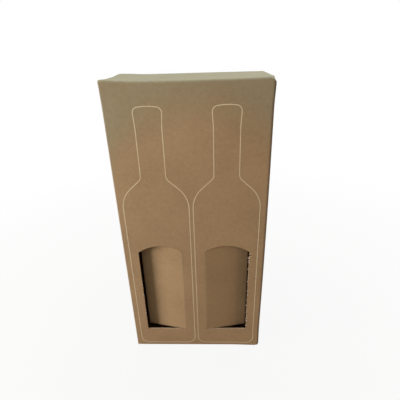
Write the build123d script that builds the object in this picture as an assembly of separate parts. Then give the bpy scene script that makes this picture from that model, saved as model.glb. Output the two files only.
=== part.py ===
from build123d import *

import os
from math import asin, degrees, radians, sqrt, tan

# Carton for two bottles, folded from one sheet of fine-flute brown board and closed by a tuck lid.
# Origin at the middle of the base, +Z up, the front with its two windows faces -Y. Millimetres.

# Outside size of the closed box
BOX_WIDTH = 170.0
BOX_DEPTH = 86.0
BOX_HEIGHT = 354.0

# The board, its folds and the room left between sheets
BOARD = 1.5
FOLD_INSIDE_RADIUS = 0.8
FOLD_STUB = 0.6
SHEET_GAP = 0.2
GLUE_LINE = 0.1
CORNER_SLIT = 0.5
CORNER_FOOT = 0.8

# Glue flap inside the back panel, from the right side panel
GLUE_FLAP_WIDTH = 24.0
GLUE_FLAP_SLANT = 8.0
GLUE_FLAP_CLEARANCE = 5.0

# Windows in the front panel, one for each bottle, hinged on the side nearer the middle
BOTTLE_PITCH = 80.0
WINDOW_WIDTH = 54.4
WINDOW_SILL_HEIGHT = 31.8
WINDOW_SIDE_HEIGHT = 125.7
WINDOW_ARCH_RISE = 9.3
KNIFE_GAP = 0.5

# Window flaps: each turned in from the front panel, and curled by the push
LEFT_FLAP_REST_ANGLE = 11.2
LEFT_FLAP_CURL_ANGLE = 5.0
RIGHT_FLAP_REST_ANGLE = 9.9
RIGHT_FLAP_CURL_ANGLE = 5.0
FLAP_HINGE_BEVEL = 8.0

# Base: front and back flaps that hook into each other over two glued side flaps
LOCK_STEP = 10.0
LOCK_SEAM = 0.6
LOCK_RAMP = 5.0
LOCK_TONGUE_REACH = 16.0
LOCK_TONGUE_CORNER = 6.0
LOCK_SIDE_ROOM = 1.5
BASE_FLAP_TAPER = 6.0
SIDE_FLAP_REACH = 30.0
SIDE_FLAP_SLANT = 18.0

# Top: dust flaps under the lid, and the lid with its tuck flap behind the back panel
DUST_FLAP_REACH = 60.0
DUST_FLAP_TAPER = 7.0
DUST_FLAP_CORNER = 8.0
DUST_TUCK_ROOM = 2.0
BACK_EDGE_DROP = 0.4
LID_SIDE_STEP = 0.4
TUCK_LENGTH = 26.0
TUCK_GAP = 0.5
TUCK_SWING_ROOM = 0.4
TUCK_SIDE_GAP = 1.0
TUCK_SIDE_TAPER = 3.0
TUCK_CORNER_RADIUS = 12.0
TUCK_SLIT_LENGTH = 11.0

# Worked out from the sizes above
HALF_WIDTH = BOX_WIDTH / 2
HALF_DEPTH = BOX_DEPTH / 2
FOLD_RADIUS = FOLD_INSIDE_RADIUS + BOARD
FOLD_LEG = FOLD_RADIUS + FOLD_STUB
SECOND_SHEET = BOARD + SHEET_GAP
FRONT_FOLD_HALF = HALF_WIDTH - FOLD_RADIUS - CORNER_SLIT
SIDE_FOLD_HALF = HALF_DEPTH - FOLD_RADIUS - CORNER_SLIT
LID_CREASE_HEIGHT = BOX_HEIGHT - FOLD_LEG
CORNER_TOP = LID_CREASE_HEIGHT - SHEET_GAP
DUST_FLAP_TOP = BOX_HEIGHT - SECOND_SHEET
TUCK_BACK = HALF_DEPTH - BOARD - TUCK_GAP
WINDOW_HINGE = (BOTTLE_PITCH - WINDOW_WIDTH) / 2
FLAP_AXIS_Y = BOARD - HALF_DEPTH
PAST = 1.0


def moved_left(points, distance):
    """The points of an open outline, moved to the left of its direction, with mitred corners."""
    points = [Vector(point) for point in points]
    ways = [(after - before).normalized() for before, after in zip(points, points[1:])]
    lefts = [Vector(-way.Y, way.X) for way in ways]
    moved = [points[0] + lefts[0] * distance]
    for point, before, after in zip(points[1:-1], lefts, lefts[1:]):
        moved.append(point + (before + after) * (distance / (1 + before.dot(after))))
    return [*moved, points[-1] + lefts[-1] * distance]


def sheet_section(*outer):
    """Section of a folded sheet whose outer face follows these points, with the inside on their left."""
    inner = moved_left(outer, BOARD)
    faces = FilletPolyline(*outer, radius=FOLD_RADIUS) + FilletPolyline(*inner, radius=FOLD_INSIDE_RADIUS)
    return make_face(faces + Line(outer[0], inner[0]) + Line(outer[-1], inner[-1]))


def plan_of(*points):
    """Flat outline through these points, where they are."""
    return Polygon(*points, align=None)


def upright(outline, depth_from, depth_to):
    """Prism of a front-view outline (x, z), reaching through a range of y."""
    return extrude(Plane.XZ.offset(-depth_to) * outline, depth_to - depth_from, dir=(0, -1, 0))


def column(outline, low, high):
    """Prism of a plan outline (x, y), reaching through a range of heights."""
    return extrude(Pos(0, 0, low) * outline, high - low, dir=(0, 0, 1))


def wall_frames():
    """A frame for each wall: its outer face on y = 0, x along the wall and y inward."""
    return {
        "front": Location((0, -HALF_DEPTH, 0)),
        "right": Location((HALF_WIDTH, 0, 0), (0, 0, 90)),
        "back": Location((0, HALF_DEPTH, 0), (0, 0, 180)),
        "left": Location((-HALF_WIDTH, 0, 0), (0, 0, -90)),
    }


def folded_flap(outline, reach):
    """A flap turned inward from a wall's lower end, in the wall's frame, with its outer face on z = 0."""
    section = sheet_section((0, FOLD_LEG), (0, 0), (reach, 0))
    strip = extrude(Plane.YZ * section, HALF_WIDTH, both=True)
    return strip & column(outline, -PAST, FOLD_LEG + PAST)


def fold_clearance(half_fold, height):
    """What is cut off a wall's lower end, in the wall's frame, where a flap's fold takes its place."""
    outline = Rectangle(2 * (half_fold + CORNER_SLIT), 2 * (BOARD + PAST))
    return column(outline, -PAST, height)


def window_outline(gap):
    """Front view of the right window, drawn from its hinge, with its three cut sides drawn in by a gap."""
    hinge = WINDOW_HINGE
    free = hinge + WINDOW_WIDTH - gap
    low = WINDOW_SILL_HEIGHT + gap
    spring = WINDOW_SILL_HEIGHT + WINDOW_SIDE_HEIGHT - gap
    crown = ((hinge + free) / 2, spring + WINDOW_ARCH_RISE)
    sides = Polyline((hinge, spring), (hinge, low), (free, low), (free, spring))
    return make_face(sides + ThreePointArc((free, spring), crown, (hinge, spring)))


def both_sides(shape):
    """The shape and its mirror image on the other side of the box's middle."""
    return shape + mirror(shape, about=Plane.YZ)


def glue_flap_trim(tuck_tip_height):
    """What is cut off the ends of the glue flap, so that it ends clear of the base and of the tuck flap."""
    fold_line = HALF_WIDTH - FOLD_RADIUS
    far_edge = HALF_WIDTH - GLUE_FLAP_WIDTH - PAST
    low = SECOND_SHEET + BOARD + GLUE_FLAP_CLEARANCE
    high = tuck_tip_height - GLUE_FLAP_CLEARANCE
    low_far = low + GLUE_FLAP_SLANT
    high_far = high - GLUE_FLAP_SLANT
    lower = plan_of((fold_line, -PAST), (fold_line, low), (far_edge, low_far), (far_edge, -PAST))
    upper = plan_of((fold_line, BOX_HEIGHT), (far_edge, BOX_HEIGHT), (far_edge, high_far), (fold_line, high))
    outer_face = HALF_DEPTH - BOARD - GLUE_LINE / 2
    return upright(lower + upper, outer_face - 2 * BOARD, outer_face)


def sleeve(tuck_tip_height):
    """The four upright walls, wrapped round from the back panel's free edge to the glue flap inside it."""
    glue_face = HALF_DEPTH - BOARD - GLUE_LINE
    wrap_end = glue_face - FOLD_LEG
    wrap = sheet_section(
        (HALF_WIDTH, HALF_DEPTH),
        (-HALF_WIDTH, HALF_DEPTH),
        (-HALF_WIDTH, -HALF_DEPTH),
        (HALF_WIDTH, -HALF_DEPTH),
        (HALF_WIDTH, wrap_end),
    )
    glue_flap = sheet_section(
        (HALF_WIDTH, wrap_end), (HALF_WIDTH, glue_face), (HALF_WIDTH - GLUE_FLAP_WIDTH, glue_face)
    )
    walls = column(wrap + glue_flap, CORNER_FOOT, CORNER_TOP)
    walls -= glue_flap_trim(tuck_tip_height)
    walls -= both_sides(upright(window_outline(0), -HALF_DEPTH - PAST, FLAP_AXIS_Y + PAST))
    edge = Rectangle(2 * FRONT_FOLD_HALF, BOARD)
    edge_middle = HALF_DEPTH - BOARD / 2
    walls += column(Pos(0, -edge_middle) * edge, CORNER_TOP, LID_CREASE_HEIGHT)
    return walls + column(Pos(0, edge_middle) * edge, CORNER_TOP, BOX_HEIGHT - BACK_EDGE_DROP)


def locking_flap():
    """Base flap in its wall's frame: one half reaches past the middle, the other hooks over its partner."""
    seam_far = HALF_DEPTH + LOCK_STEP - LOCK_SEAM / 2
    seam_near = HALF_DEPTH - LOCK_STEP - LOCK_SEAM / 2
    ramp_start = seam_near - LOCK_RAMP
    half = FRONT_FOLD_HALF
    slope = BASE_FLAP_TAPER / seam_far
    outline = plan_of(
        (-half, -PAST),
        (half, -PAST),
        (half - slope * ramp_start, ramp_start),
        (-LOCK_SEAM / 2, ramp_start),
        (-LOCK_SEAM / 2, seam_far),
        (-half + BASE_FLAP_TAPER, seam_far),
    )
    tongue_end = seam_near + LOCK_TONGUE_REACH
    outer_end = HALF_WIDTH - SIDE_FLAP_REACH - LOCK_SIDE_ROOM
    tongue_low = ramp_start - LOCK_RAMP
    under = [(tongue_low, 0), (ramp_start, 0), (seam_near, SECOND_SHEET), (tongue_end, SECOND_SHEET)]
    section = make_face(Polyline(*under, *reversed(moved_left(under, BOARD)), close=True))
    strip = extrude(Plane.YZ * section, BOX_WIDTH, both=True)
    inner_end = LOCK_SEAM / 2
    plan = plan_of(
        (inner_end, tongue_low), (outer_end, tongue_low), (outer_end, tongue_end), (inner_end, tongue_end)
    )
    plan = fillet(plan.vertices().group_by(Axis.Y)[-1], LOCK_TONGUE_CORNER)
    tongue = strip & column(plan, -PAST, SECOND_SHEET + BOARD + PAST)
    return folded_flap(outline, seam_far) + tongue


def side_base_flap():
    """Side flap of the base in its wall's frame, narrowing away from its fold."""
    half = SIDE_FOLD_HALF
    tip = half - SIDE_FLAP_SLANT
    outline = plan_of((-half, -PAST), (half, -PAST), (tip, SIDE_FLAP_REACH), (-tip, SIDE_FLAP_REACH))
    return folded_flap(outline, SIDE_FLAP_REACH)


def dust_flap(back_at):
    """Dust flap in its wall's frame, its top on z = 0; back_at is the sign of x at the box's back."""
    front_edge = SIDE_FOLD_HALF
    back_edge = TUCK_BACK - FOLD_RADIUS - DUST_TUCK_ROOM
    outline = plan_of(
        (-back_at * front_edge, -PAST),
        (back_at * back_edge, -PAST),
        (back_at * back_edge, DUST_FLAP_REACH / 2),
        (back_at * (back_edge - DUST_FLAP_TAPER), DUST_FLAP_REACH),
        (-back_at * (front_edge - DUST_FLAP_TAPER), DUST_FLAP_REACH),
    )
    outline = fillet(outline.vertices().group_by(Axis.Y)[-1], DUST_FLAP_CORNER)
    return mirror(folded_flap(outline, DUST_FLAP_REACH), about=Plane.XY)


def carton(tuck_tip_height):
    """The folded sheet as far as its creases: walls, glue flap, base flaps and dust flaps."""
    frames = wall_frames()
    body = sleeve(tuck_tip_height)
    for wall in ("front", "back"):
        body -= frames[wall] * fold_clearance(FRONT_FOLD_HALF, FOLD_LEG)
        body += frames[wall] * locking_flap()
    for wall, back_at in (("right", 1), ("left", -1)):
        body -= frames[wall] * fold_clearance(SIDE_FOLD_HALF, SECOND_SHEET + FOLD_LEG)
        body += frames[wall] * (Pos(0, 0, SECOND_SHEET) * side_base_flap())
        top_cut = Pos(0, 0, BOX_HEIGHT) * mirror(
            fold_clearance(SIDE_FOLD_HALF, SECOND_SHEET + FOLD_LEG), about=Plane.XY
        )
        body -= frames[wall] * top_cut
        body += frames[wall] * (Pos(0, 0, DUST_FLAP_TOP) * dust_flap(back_at))
    return body


def tuck_lean():
    """Angle by which the tuck flap leans in, so that it swings up clear of the back panel."""
    swing = TUCK_BACK + HALF_DEPTH
    drop = TUCK_LENGTH - FOLD_LEG
    return asin((swing - sqrt(swing**2 - drop**2) + TUCK_SWING_ROOM) / TUCK_LENGTH)


def lid():
    """The lid panel from its crease on the front panel to the end of its tuck flap."""
    lean = degrees(tuck_lean())
    panel_half = HALF_WIDTH - LID_SIDE_STEP
    fold_corner = Vector(TUCK_BACK, BOX_HEIGHT)
    tip = fold_corner + Vector(0, -TUCK_LENGTH).rotate(Axis.Z, -lean)
    section = sheet_section(tip, fold_corner, (-HALF_DEPTH, BOX_HEIGHT), (-HALF_DEPTH, LID_CREASE_HEIGHT))
    sheet = extrude(Plane.YZ * section, panel_half, both=True)
    return sheet - tuck_trim(tip.Y, panel_half)


def tuck_trim(tip_height, panel_half):
    """What is cut off the lid's sheet round the tuck flap: its tapered sides, round corners and end slits."""
    wide = HALF_WIDTH - BOARD - TUCK_SIDE_GAP
    narrow = wide - TUCK_SIDE_TAPER
    slit_top = BOX_HEIGHT - BOARD
    slit_low = BOX_HEIGHT - FOLD_RADIUS
    flap = plan_of((-wide, slit_low), (-narrow, tip_height), (narrow, tip_height), (wide, slit_low))
    flap = fillet(flap.vertices().group_by(Axis.Y)[0], TUCK_CORNER_RADIUS)
    hinge_half = wide - TUCK_SLIT_LENGTH
    neck = Pos(0, slit_low) * Rectangle(2 * hinge_half, slit_top - slit_low, align=(Align.CENTER, Align.MIN))
    beyond = panel_half + PAST
    under = tip_height - PAST
    below = plan_of((-beyond, under), (beyond, under), (beyond, slit_top), (-beyond, slit_top))
    return upright(below - (flap + neck), 0, HALF_DEPTH)


def window_flap(rest_angle, curl_angle):
    """A flap of the right window: a curled sheet drawn closed over it, trimmed, then turned on its crease."""
    length = WINDOW_WIDTH - KNIFE_GAP
    inner_radius = length / radians(curl_angle)
    outer_radius = inner_radius + BOARD
    start = -90 - curl_angle / 2
    bevel = degrees(BOARD * tan(radians(FLAP_HINGE_BEVEL)) / outer_radius)
    arc_middle = Vector(WINDOW_HINGE, FLAP_AXIS_Y) + Vector(inner_radius, 0).rotate(Axis.Z, start + 180)
    inner = CenterArc(arc_middle, inner_radius, start, curl_angle)
    outer = CenterArc(arc_middle, outer_radius, start + bevel, curl_angle - bevel)
    section = make_face(inner + Line(inner @ 1, outer @ 1) + outer + Line(outer @ 0, inner @ 0))
    sheet = column(section, 0, BOX_HEIGHT)
    sheet &= upright(window_outline(KNIFE_GAP), -HALF_DEPTH - length, HALF_DEPTH)
    crease = Axis((WINDOW_HINGE, FLAP_AXIS_Y, 0), (0, 0, 1))
    return sheet.rotate(crease, rest_angle)


def build():
    """Every node of the box by name."""
    lid_node = lid()
    left_flap = mirror(window_flap(LEFT_FLAP_REST_ANGLE, LEFT_FLAP_CURL_ANGLE), about=Plane.YZ)
    right_flap = window_flap(RIGHT_FLAP_REST_ANGLE, RIGHT_FLAP_CURL_ANGLE)
    return {
        "carton": carton(lid_node.bounding_box().min.Z),
        "lid": lid_node,
        "window_flap_left": left_flap,
        "window_flap_right": right_flap,
    }


os.makedirs("parts", exist_ok=True)
for name, shape in build().items():
    export_step(shape, f"parts/{name}.step")
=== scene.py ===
import math
import random

import bmesh
import bpy
import numpy as np
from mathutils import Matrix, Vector, geometry, kdtree


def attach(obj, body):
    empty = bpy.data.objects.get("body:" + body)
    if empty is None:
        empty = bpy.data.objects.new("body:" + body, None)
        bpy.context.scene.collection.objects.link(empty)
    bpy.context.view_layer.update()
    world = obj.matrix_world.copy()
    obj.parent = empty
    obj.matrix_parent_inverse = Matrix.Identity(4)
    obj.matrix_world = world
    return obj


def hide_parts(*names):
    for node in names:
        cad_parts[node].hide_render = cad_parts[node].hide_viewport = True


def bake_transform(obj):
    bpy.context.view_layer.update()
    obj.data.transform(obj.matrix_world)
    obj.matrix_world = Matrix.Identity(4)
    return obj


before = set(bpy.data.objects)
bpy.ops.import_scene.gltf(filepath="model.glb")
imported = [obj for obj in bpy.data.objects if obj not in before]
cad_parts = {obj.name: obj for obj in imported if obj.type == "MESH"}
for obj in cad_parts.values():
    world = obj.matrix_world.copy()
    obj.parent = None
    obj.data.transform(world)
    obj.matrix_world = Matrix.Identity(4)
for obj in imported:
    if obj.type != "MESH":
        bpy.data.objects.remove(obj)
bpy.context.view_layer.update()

# The box is one blank of fine-flute board. Each piece is drawn flat, in millimetres, and then folded.
# A blank has u along the box's walls and v up them; w goes through the board from its outer face.
# Where the two sides differ, 1 stands for the right one and -1 for the left.
MM = 0.001

# Sizes shared with the CAD source
BOX_WIDTH = 170.0
BOX_DEPTH = 86.0
BOX_HEIGHT = 354.0
BOARD = 1.5
FOLD_RADIUS = 2.3
FOLD_STUB = 0.6
SHEET_GAP = 0.2
GLUE_LINE = 0.1
CORNER_SLIT = 0.5
CORNER_FOOT = 0.8
GLUE_FLAP_WIDTH = 24.0
GLUE_FLAP_LOW = 8.2
GLUE_FLAP_HIGH = 323.3
GLUE_FLAP_SLANT = 7.65
BOTTLE_PITCH = 80.0
WINDOW_WIDTH = 54.4
WINDOW_SILL_HEIGHT = 31.8
WINDOW_SIDE_HEIGHT = 125.7
WINDOW_ARCH_RISE = 9.3
KNIFE_GAP = 0.5
FLAP_REST_ANGLE = {1: 9.9, -1: 11.2}
FLAP_CURL_ANGLE = {1: 5.0, -1: 5.0}
LOCK_STEP = 10.0
LOCK_SEAM = 0.6
LOCK_RAMP = 5.0
LOCK_TONGUE_REACH = 16.0
LOCK_TONGUE_CORNER = 6.0
LOCK_SIDE_ROOM = 1.5
BASE_FLAP_TAPER = 6.0
SIDE_FLAP_REACH = 30.0
SIDE_FLAP_SLANT = 18.0
DUST_FLAP_REACH = 60.0
DUST_FLAP_TAPER = 7.0
DUST_FLAP_CORNER = 8.0
DUST_TUCK_ROOM = 2.0
BACK_EDGE_DROP = 0.4
LID_SIDE_STEP = 0.4
TUCK_LENGTH = 26.0
TUCK_GAP = 0.5
TUCK_LEAN = 8.05
TUCK_SIDE_GAP = 1.0
TUCK_SIDE_TAPER = 3.0
TUCK_CORNER_RADIUS = 12.0
TUCK_SLIT_LENGTH = 11.0

# Worked out from the sizes above
HALF_WIDTH = BOX_WIDTH / 2
HALF_DEPTH = BOX_DEPTH / 2
FOLD_LEG = FOLD_RADIUS + FOLD_STUB
SECOND_SHEET = BOARD + SHEET_GAP
QUARTER = FOLD_RADIUS * math.pi / 2
FRONT_FOLD_HALF = HALF_WIDTH - FOLD_RADIUS - CORNER_SLIT
SIDE_FOLD_HALF = HALF_DEPTH - FOLD_RADIUS - CORNER_SLIT
LID_CREASE_HEIGHT = BOX_HEIGHT - FOLD_LEG
CORNER_TOP = LID_CREASE_HEIGHT - SHEET_GAP
SIDE_LOW = SECOND_SHEET + FOLD_LEG
SIDE_HIGH = BOX_HEIGHT - SECOND_SHEET - FOLD_LEG
BACK_HIGH = BOX_HEIGHT - BACK_EDGE_DROP
TUCK_BACK = HALF_DEPTH - BOARD - TUCK_GAP
WINDOW_HINGE = (BOTTLE_PITCH - WINDOW_WIDTH) / 2
FLAP_LENGTH = WINDOW_WIDTH - KNIFE_GAP
DUST_FLAP_BACK = TUCK_BACK - FOLD_RADIUS - DUST_TUCK_ROOM

# Fluting seen at the cut edges: liners, wavy medium between them, and how far it is crushed back
FLUTE_PITCH = 3.2
LINER = 0.28
MEDIUM = 0.22
EDGE_RECESS = 0.45
MEDIUM_RECESS = 0.15

# Fineness of the meshes
STEP_ACROSS_FLUTES = 0.55
STEP_ALONG_FLUTES = 3.0
FOLD_STEPS = 6
ARC_STEP = math.radians(6)
GRID_CARTON = 7.0
GRID_CORNER = GRID_CARTON / 3
GRID_LID = 5.0
GRID_FLAP = 4.0
GUIDE_MARGIN = 0.35
FOLD_MARGIN = GUIDE_MARGIN / 4
DUST_GUIDE_SLANT = 0.25
FLAP_GUIDES = (0.4, 0.9, 1.4, 1.9, 2.5, 4.0)
FLAP_TRACE_STEP = 0.1
MITRE_LIMIT = 0.5
SLIVER = 0.002
SMOOTH_ANGLE = math.radians(35)
ON_LINE = 1e-3
ROUNDING = 1e-6

# How the window flaps turn at their creases, measured from the crease
FLAP_BEND = 2.5

# Painted shade with some rubbing, darkening the creases: how far it reaches beside a fold, how flat its
# peaks are, and how strong a flap's is
CREASE_SIDE = 1.2
CORNER_CREASE_PEAK = 1.5
TUCK_CREASE_PEAK = 2.0
FLAP_CREASE = 0.3

# Painted cool light, a greyer and cooler tint towards the front's top: start at mid-front, span, tilt, arch,
# and reach round the corners
PAINTED_LIGHT_LOW = 298.0
PAINTED_LIGHT_SPAN = 60.0
PAINTED_LIGHT_TILT = 12.0
PAINTED_LIGHT_ARCH = 38.0
PAINTED_LIGHT_ROUND_CORNER = 30.0

# How the used box has given way: its right wall, front and back swell, and its top front fold sags
# Where that starts or ends is a share of the half width, of the height or of the half depth
SIDE_SWELL = 0.9
SIDE_SWELL_START = 0.85
FRONT_SWELL = 0.5
TOP_SAG = 0.9
TOP_SAG_START = 0.75
TOP_SAG_BACK = 0.6

# How its corners are pulled or rounded off: (corner, reach along each axis, move)
CORNER_MOVES = [
    (Vector((HALF_WIDTH, -HALF_DEPTH, BOX_HEIGHT)), (30, 30, 30), Vector((1.0, 0.0, 0.0))),
    (Vector((HALF_WIDTH, -HALF_DEPTH, BOX_HEIGHT)), (5, 14, 5), Vector((-1.7, 0.0, -1.5))),
    (Vector((-HALF_WIDTH, -HALF_DEPTH, BOX_HEIGHT)), (30, 30, 30), Vector((-0.3, -0.4, 1.2))),
    (Vector((-HALF_WIDTH, HALF_DEPTH, BOX_HEIGHT)), (36, 36, 36), Vector((0.8, 0.0, 1.3))),
    (Vector((HALF_WIDTH, -HALF_DEPTH, 0)), (40, 40, 40), Vector((0.5, -0.9, 0.0))),
    (Vector((HALF_WIDTH, -HALF_DEPTH, 0)), (5, 5, 5), Vector((-0.7, 0.7, 0.6))),
]

# Printed bottle outline: (offset from the bottle's middle, height, corner radius)
BOTTLE_CORNERS = [
    (37.4, 6.0, 10.0),
    (37.4, 231.5, 32.0),
    (13.7, 253.3, 9.0),
    (13.7, 309.0, 25.0),
    (15.0, 329.0, 6.0),
    (0.0, 331.5, 60.0),
]
PRINT_OFFSET = {1: 39.2, -1: 40.2}
PRINT_WIDTH = 0.9
PRINT_RAISE = 0.04
PRINT_SINK = 0.03

# Torn bridges along the windows' free sides: their sizes, and ranges that make each one different
NICK_SPACING = 8.5
NICK_SPACING_CHANGE = (0.55, 1.45)
NICK_WIDTH = (0.9, 2.2)
NICK_REACH = {1: (0.5, 1.7), -1: (0.15, 0.7)}
NICK_TIP = (0.3, 0.7)
NICK_SHOULDER = 0.7
NICK_SHOULDER_REACH = (0.6, 0.9)
NICK_TAIL_REACH = (0.2, 0.6)
NICK_SEED = {1: 5, -1: 11}

# Tears from a window into the panel: (height, width, reach)
TEARS = {1: [(150.2, 2.3, 2.8), (154.9, 2.1, 2.4)], -1: []}
TEAR_TAPER = 0.25

# Scraps of torn liner beside the windows: (height, length, width, lift off the front, turn up or down)
SCRAP_STEPS = 4
SCRAP_THICKNESS = 0.15
SCRAP_ROOT = 0.9
SCRAP_NARROWING = 0.75
SCRAPS = {
    1: [
        (148.6, 3.0, 2.2, 1.1, 0.9),
        (145.2, 1.9, 1.6, 0.8, -0.6),
        (141.0, 1.5, 1.2, 0.5, 0.4),
        (118.0, 1.6, 1.1, 0.5, -0.5),
        (97.5, 1.7, 1.3, 0.6, 0.6),
        (92.0, 1.5, 1.1, 0.4, -0.3),
        (64.0, 1.6, 1.2, 0.5, 0.5),
        (51.5, 2.4, 1.9, 1.0, -0.8),
        (46.5, 2.2, 1.7, 0.9, 0.6),
        (38.5, 2.1, 1.6, 0.9, 0.3),
    ],
    -1: [(108.0, 1.3, 1.0, 0.4, 0.4), (92.5, 1.4, 1.1, 0.4, -0.4), (61.0, 1.2, 0.9, 0.3, 0.3)],
}

# Colours of the board, of its torn paper and of the ink, linear
WHITE = (1, 1, 1, 1)
BOARD_PALE = (0.497, 0.329, 0.181, 1)
BOARD_DARK = (0.348, 0.216, 0.113, 1)
BOARD_FLECK = (0.152, 0.095, 0.053, 1)
INSIDE_PALE = (0.45, 0.33, 0.205, 1)
INSIDE_DARK = (0.325, 0.225, 0.132, 1)
CUT_PALE = (0.72, 0.58, 0.43, 1)
CUT_DARK = (0.52, 0.39, 0.26, 1)
# Painted shade, with some rubbed dirt, that darkens the creases
CREASE_SHADE_AND_RUB = (0.15, 0.13, 0.1, 1)
# Painted cool light from above: a greyer, cooler tint multiplied into the board towards the top
PAINTED_COOL_LIGHT = (0.8, 0.96, 1.08, 1)
TORN = (0.9, 0.84, 0.74, 1)
INK = (0.81, 0.68, 0.48, 1)

# Noise in the materials: (scale per metre, detail, roughness, stretch along u, v and w)
EVEN = (1, 1, 1)
CLOUDS = (22, 4, 0.55, EVEN)
FORMATION = (210, 4, 0.6, EVEN)
FIBRES_ALONG = (1, 3, 0.6, (260, 1900, 500))
FIBRES_ACROSS = (1, 3, 0.6, (1700, 330, 500))
DARK_FLECKS = (900, 2, 0.5, EVEN)
PALE_FLECKS = (640, 2, 0.5, (1, 0.35, 1))
DRY_INK = (700, 4, 0.65, EVEN)
THIN_INK = (60, 2, 0.55, EVEN)

# What the noise does: (its low and high value, and what these become)
CLOUD_TONE = (0.3, 0.7, 0, 0.35)
FIBRE_TONE = (0.12, 0.4, 0, 0.45)
DARK_FLECK_COVER = (0.66, 0.74, 0, 0.55)
PALE_FLECK_COVER = (0.67, 0.78, 0, 0.35)
# Patchiness of the painted cool light at the top, and of the painted shade with rubbing in the creases
PAINTED_LIGHT_PATCHES = (0.3, 0.7, 0.75, 1.15)
CREASE_SHADE_AND_RUB_PATCHES = (0.3, 0.7, 0.35, 0.6)
DRY_INK_LOSS = (0.5, 0.75, 0, 0.5)
THIN_INK_LOSS = (0.4, 0.7, 0, 0.2)

# Finish of the surfaces
ROUGHNESS_RANGE = (0.3, 0.7)
ROUGHNESS_CHANGE = 0.06
OUTSIDE_ROUGHNESS = 0.86
INSIDE_ROUGHNESS = 0.88
CUT_ROUGHNESS = 0.92
BOARD_SPECULAR = 0.5
BUMP_STRENGTH = 0.35
BUMP_DISTANCE = 0.12 * MM
WASHBOARD = 0.1
INK_ROUGHNESS = 0.8
INK_SPECULAR = 0.3

# Floor, in metres: it keeps the box's shadow and looks white, wholly so further away, but not under the box
FLOOR_HALF = 4.0
FLOOR_COLOUR = (0.4, 0.345, 0.29, 1)
FLOOR_ROUGHNESS = 0.95
FLOOR_SPECULAR = 0.0
FLOOR_WHITE = 0.92
FLOOR_FADE = (0.15, 0.75)
FLOOR_UNDER = (0.9, 0.96)

# Light: a soft key lamp far to the left, a cooler one above, weak ones to fill, and a faint plain surround
# Lamps are given as (name, place in metres, size in metres, power in watts, colour)
LAMPS = [
    ("left_lamp", (-1.148, -0.394, 0.3), 0.5, 17.2, (1.0, 0.945, 0.885)),
    ("right_lamp", (1.141, -0.414, 0.3), 0.6, 3.4, (1.0, 0.74, 0.56)),
    ("top_lamp", (0.0, 0.25, 1.4), 1.0, 15.0, (0.74, 0.93, 1.0)),
    ("upper_lamp", (-0.12, -0.25, 0.5), 0.2, 0.21, (0.9, 1.0, 0.88)),
    ("back_lamp", (0.5, 1.3, 0.5), 0.8, 4.6, (1.0, 0.94, 0.86)),
]
LAMP_AIM = Vector((0, 0, 0.18))
SURROUND = (0.9, 0.95, 1.0, 1)
SURROUND_STRENGTH = 0.004

# Camera fitted to the box's corners in the photograph: place in millimetres, turn in degrees
CAMERA_PLACE = (23.2, -365.6, 380.9)
CAMERA_TURN = (64.566, 1.58, 1.622)
CAMERA_LENS = 28.918
CAMERA_CLIP = 0.01
SENSOR = 36.0

# Surfaces of a sheet, corners in a strip's section, and the colour sockets' places on Blender's Mix node
OUTER, INNER, CUT = range(3)
RING = 4
MIX_FACTOR, MIX_FIRST, MIX_SECOND, MIX_RESULT = 0, 6, 7, 2


class Fold:
    """Edge view of a folded sheet, measured along its outer face, with its inside on the left of its run."""

    def __init__(self, start, heading, *runs):
        x, y = start
        angle = math.radians(heading)
        self.parts = []
        self.starts = []
        along = 0.0
        for length, turn in runs:
            self.starts.append(along)
            self.parts.append((along, x, y, angle, 0.0))
            along += length
            if turn:
                x, y, angle = self.at(along)
                self.parts.append((along, x, y, angle, 1 / FOLD_RADIUS))
                along += math.radians(turn) * FOLD_RADIUS
                x, y, angle = self.at(along)
        self.length = along

    def at(self, along):
        """Place and heading of the outer face at a distance along it."""
        start, x, y, angle, bend = [part for part in self.parts if part[0] <= max(along, 0.0)][-1]
        run = along - start
        if not bend:
            return x + run * math.cos(angle), y + run * math.sin(angle), angle
        turned = angle + run * bend
        x += (math.sin(turned) - math.sin(angle)) / bend
        y -= (math.cos(turned) - math.cos(angle)) / bend
        return x, y, turned

    def through(self, along, w):
        """Place of a point at a distance along the sheet and a depth into it."""
        x, y, angle = self.at(along)
        return x - w * math.sin(angle), y + w * math.cos(angle)


SLEEVE = Fold(
    (HALF_WIDTH, HALF_DEPTH),
    180,
    (BOX_WIDTH - FOLD_RADIUS, 90),
    (BOX_DEPTH - 2 * FOLD_RADIUS, 90),
    (BOX_WIDTH - 2 * FOLD_RADIUS, 90),
    (BOX_DEPTH - 2 * FOLD_RADIUS - BOARD - GLUE_LINE, 90),
    (GLUE_FLAP_WIDTH - FOLD_RADIUS, 0),
)
LEFT_START, FRONT_START, RIGHT_START, GLUE_START = SLEEVE.starts[1:]
BACK_MIDDLE = HALF_WIDTH
LEFT_MIDDLE = LEFT_START + HALF_DEPTH - FOLD_RADIUS
FRONT_MIDDLE = FRONT_START + HALF_WIDTH - FOLD_RADIUS
RIGHT_MIDDLE = RIGHT_START + HALF_DEPTH - FOLD_RADIUS
BACK_END = LEFT_START - QUARTER
LEFT_END = FRONT_START - QUARTER
FRONT_END = RIGHT_START - QUARTER
RIGHT_END = GLUE_START - QUARTER
RIGHT_FLAP_END = RIGHT_END - CORNER_SLIT

# A flap's distance from its wall's end to where a given reach lies on its flat part
FLAP_RUN = FOLD_STUB + QUARTER - FOLD_RADIUS
BASE_FOLD = Fold((0, FOLD_LEG), -90, (FOLD_STUB, 90), (BOX_DEPTH, 0))

# Locking flaps of the base
SEAM_FAR = HALF_DEPTH + LOCK_STEP - LOCK_SEAM / 2
SEAM_NEAR = HALF_DEPTH - LOCK_STEP - LOCK_SEAM / 2
RAMP_START = SEAM_NEAR - LOCK_RAMP
TONGUE_END = SEAM_NEAR + LOCK_TONGUE_REACH
TONGUE_SIDE = HALF_WIDTH - SIDE_FLAP_REACH - LOCK_SIDE_ROOM

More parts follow.
